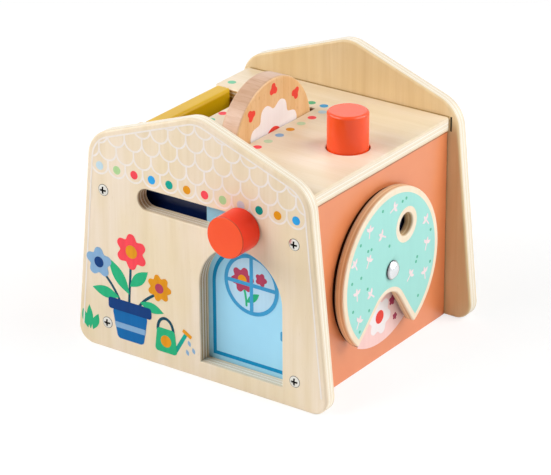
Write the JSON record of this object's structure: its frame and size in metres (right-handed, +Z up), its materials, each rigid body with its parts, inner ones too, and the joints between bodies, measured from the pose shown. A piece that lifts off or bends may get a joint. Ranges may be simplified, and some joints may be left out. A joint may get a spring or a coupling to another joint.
{
  "type": "activity house",
  "caption": "House-shaped wooden activity toy: two gables, flat roof, a sliding door with a knob, a turning side wheel, a turning roof disc, a spring button and a drop flap.",
  "frame": {"origin": "centre of the house's footprint at the floor, midway between the gables and the walls", "axes": "+X to the wheel wall, seen from the front; +Y from the front gable to the back gable; +Z up"},
  "size_m": [0.1976, 0.1975, 0.1786],
  "materials": {
    "birch_plywood": "clear matt lacquer",
    "beech": "clear matt lacquer",
    "terracotta_paint": "satin paint",
    "door_blue": "satin paint",
    "navy_paint": "satin paint",
    "coral_red_paint": "satin paint",
    "mint_paint": "satin paint",
    "yellow_paint": "satin paint",
    "bright_chrome": "polished",
    "screw_steel": "zinc plated",
    "spring_steel": "drawn wire"
  },
  "bodies": {
    "house": {"front_gable": "birch_plywood", "back_gable": "birch_plywood", "roof_board": "birch_plywood", "right_wall": "terracotta_paint", "left_wall": "terracotta_paint", "base_board": "birch_plywood", "front_gable_screws": "screw_steel", "back_gable_screws": "screw_steel", "roof_dowels": "beech", "base_dowels": "beech", "backdrop_board": "navy_paint", "door_rail_bottom": "birch_plywood", "door_rail_top": "birch_plywood", "wheel_bolt": "bright_chrome", "wheel_spacer": "screw_steel", "wheel_washer": "screw_steel", "wheel_nut": "screw_steel", "disc_axle": "screw_steel", "axle_clamp_left": "beech", "axle_clamp_right": "beech", "clamp_screws": "screw_steel", "button_spring": "spring_steel", "button_guide": "beech", "button_cheek_front": "birch_plywood", "button_cheek_back": "birch_plywood", "button_shelf": "birch_plywood", "shelf_screws": "screw_steel", "flap_pins": "screw_steel", "flap_stops": "beech"},
    "door": {"sliding_door": "door_blue", "door_knob": "coral_red_paint", "knob_screw": "screw_steel"},
    "wheel": {"side_wheel": "mint_paint"},
    "disc": {"top_disc": "beech"},
    "button": {"push_button": "coral_red_paint", "button_stop_pin": "screw_steel"},
    "flap": {"side_flap": "yellow_paint"}
  },
  "joints": [
    {"name": "door_slide", "type": "slide", "parent": "house", "child": "door", "axis": [-1, 0, 0], "range_m": [0, 0.0698]},
    {"name": "wheel_spin", "type": "hinge", "parent": "house", "child": "wheel", "pos_m": [0.0846, 0, 0.0658], "axis": [1, 0, 0], "continuous": true},
    {"name": "disc_spin", "type": "hinge", "parent": "house", "child": "disc", "pos_m": [-0.008, -0.004, 0.1363], "axis": [1, 0, 0], "continuous": true},
    {"name": "button_press", "type": "slide", "parent": "house", "child": "button", "axis": [0, 0, -1], "range_m": [0, 0.014], "stiffness_N_per_m": 150, "springref_m": -0.006, "deforming": ["button_spring"]},
    {"name": "flap_hinge", "type": "hinge", "parent": "house", "child": "flap", "pos_m": [-0.0755, 0, 0.058], "axis": [0, -1, 0], "range_deg": [0, 90]}
  ]
}
